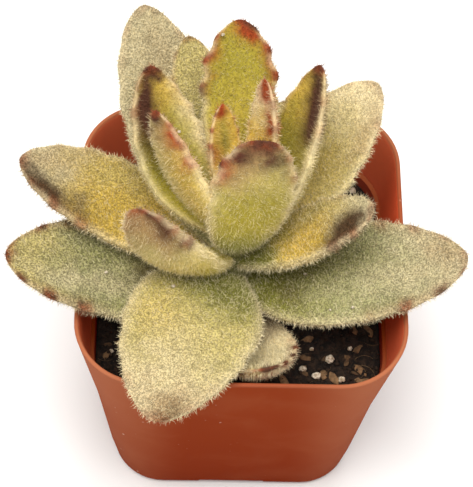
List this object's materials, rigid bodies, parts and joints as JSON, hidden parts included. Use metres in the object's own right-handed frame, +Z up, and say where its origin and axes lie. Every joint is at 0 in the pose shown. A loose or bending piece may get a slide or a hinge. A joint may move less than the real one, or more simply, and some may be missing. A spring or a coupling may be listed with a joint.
{
  "type": "potted panda plant",
  "caption": "Small succulent with a rosette of thick, felted, notch-tipped leaves on a short stem, growing in potting mix in a square, round-cornered plastic nursery pot.",
  "frame": {"origin": "middle of the flat underside of the pot", "axes": "+Z up; the pictured side of the plant faces -Y; the pot's sides are square to X and Y"},
  "size_m": [0.0788, 0.0675, 0.088],
  "materials": {
    "pot": "terracotta-coloured polypropylene with a satin sheen",
    "soil": "dark potting mix",
    "stem": "soft green-brown bark",
    "leaf": "grey-green leaf covered in short silver hairs"
  },
  "bodies": {
    "root": {"pot": "pot", "soil": "soil", "stem": "stem", "leaf_01_front_low": "leaf", "leaf_02_front": "leaf", "leaf_03_left_low": "leaf", "leaf_04_right_low": "leaf", "leaf_05_back_low": "leaf", "leaf_06_back_right_low": "leaf", "leaf_07_left_back": "leaf", "leaf_08_back_left": "leaf", "leaf_09_back_right": "leaf", "leaf_10_right": "leaf", "leaf_11_front_left": "leaf", "leaf_12_back": "leaf", "leaf_13_back_tall": "leaf", "leaf_14_left_tall": "leaf", "leaf_15_right_tall": "leaf", "leaf_16_centre_front": "leaf", "leaf_17_centre_left": "leaf", "leaf_18_centre_right": "leaf", "leaf_19_centre_back": "leaf", "leaf_20_heart": "leaf"}
  },
  "joints": []
}
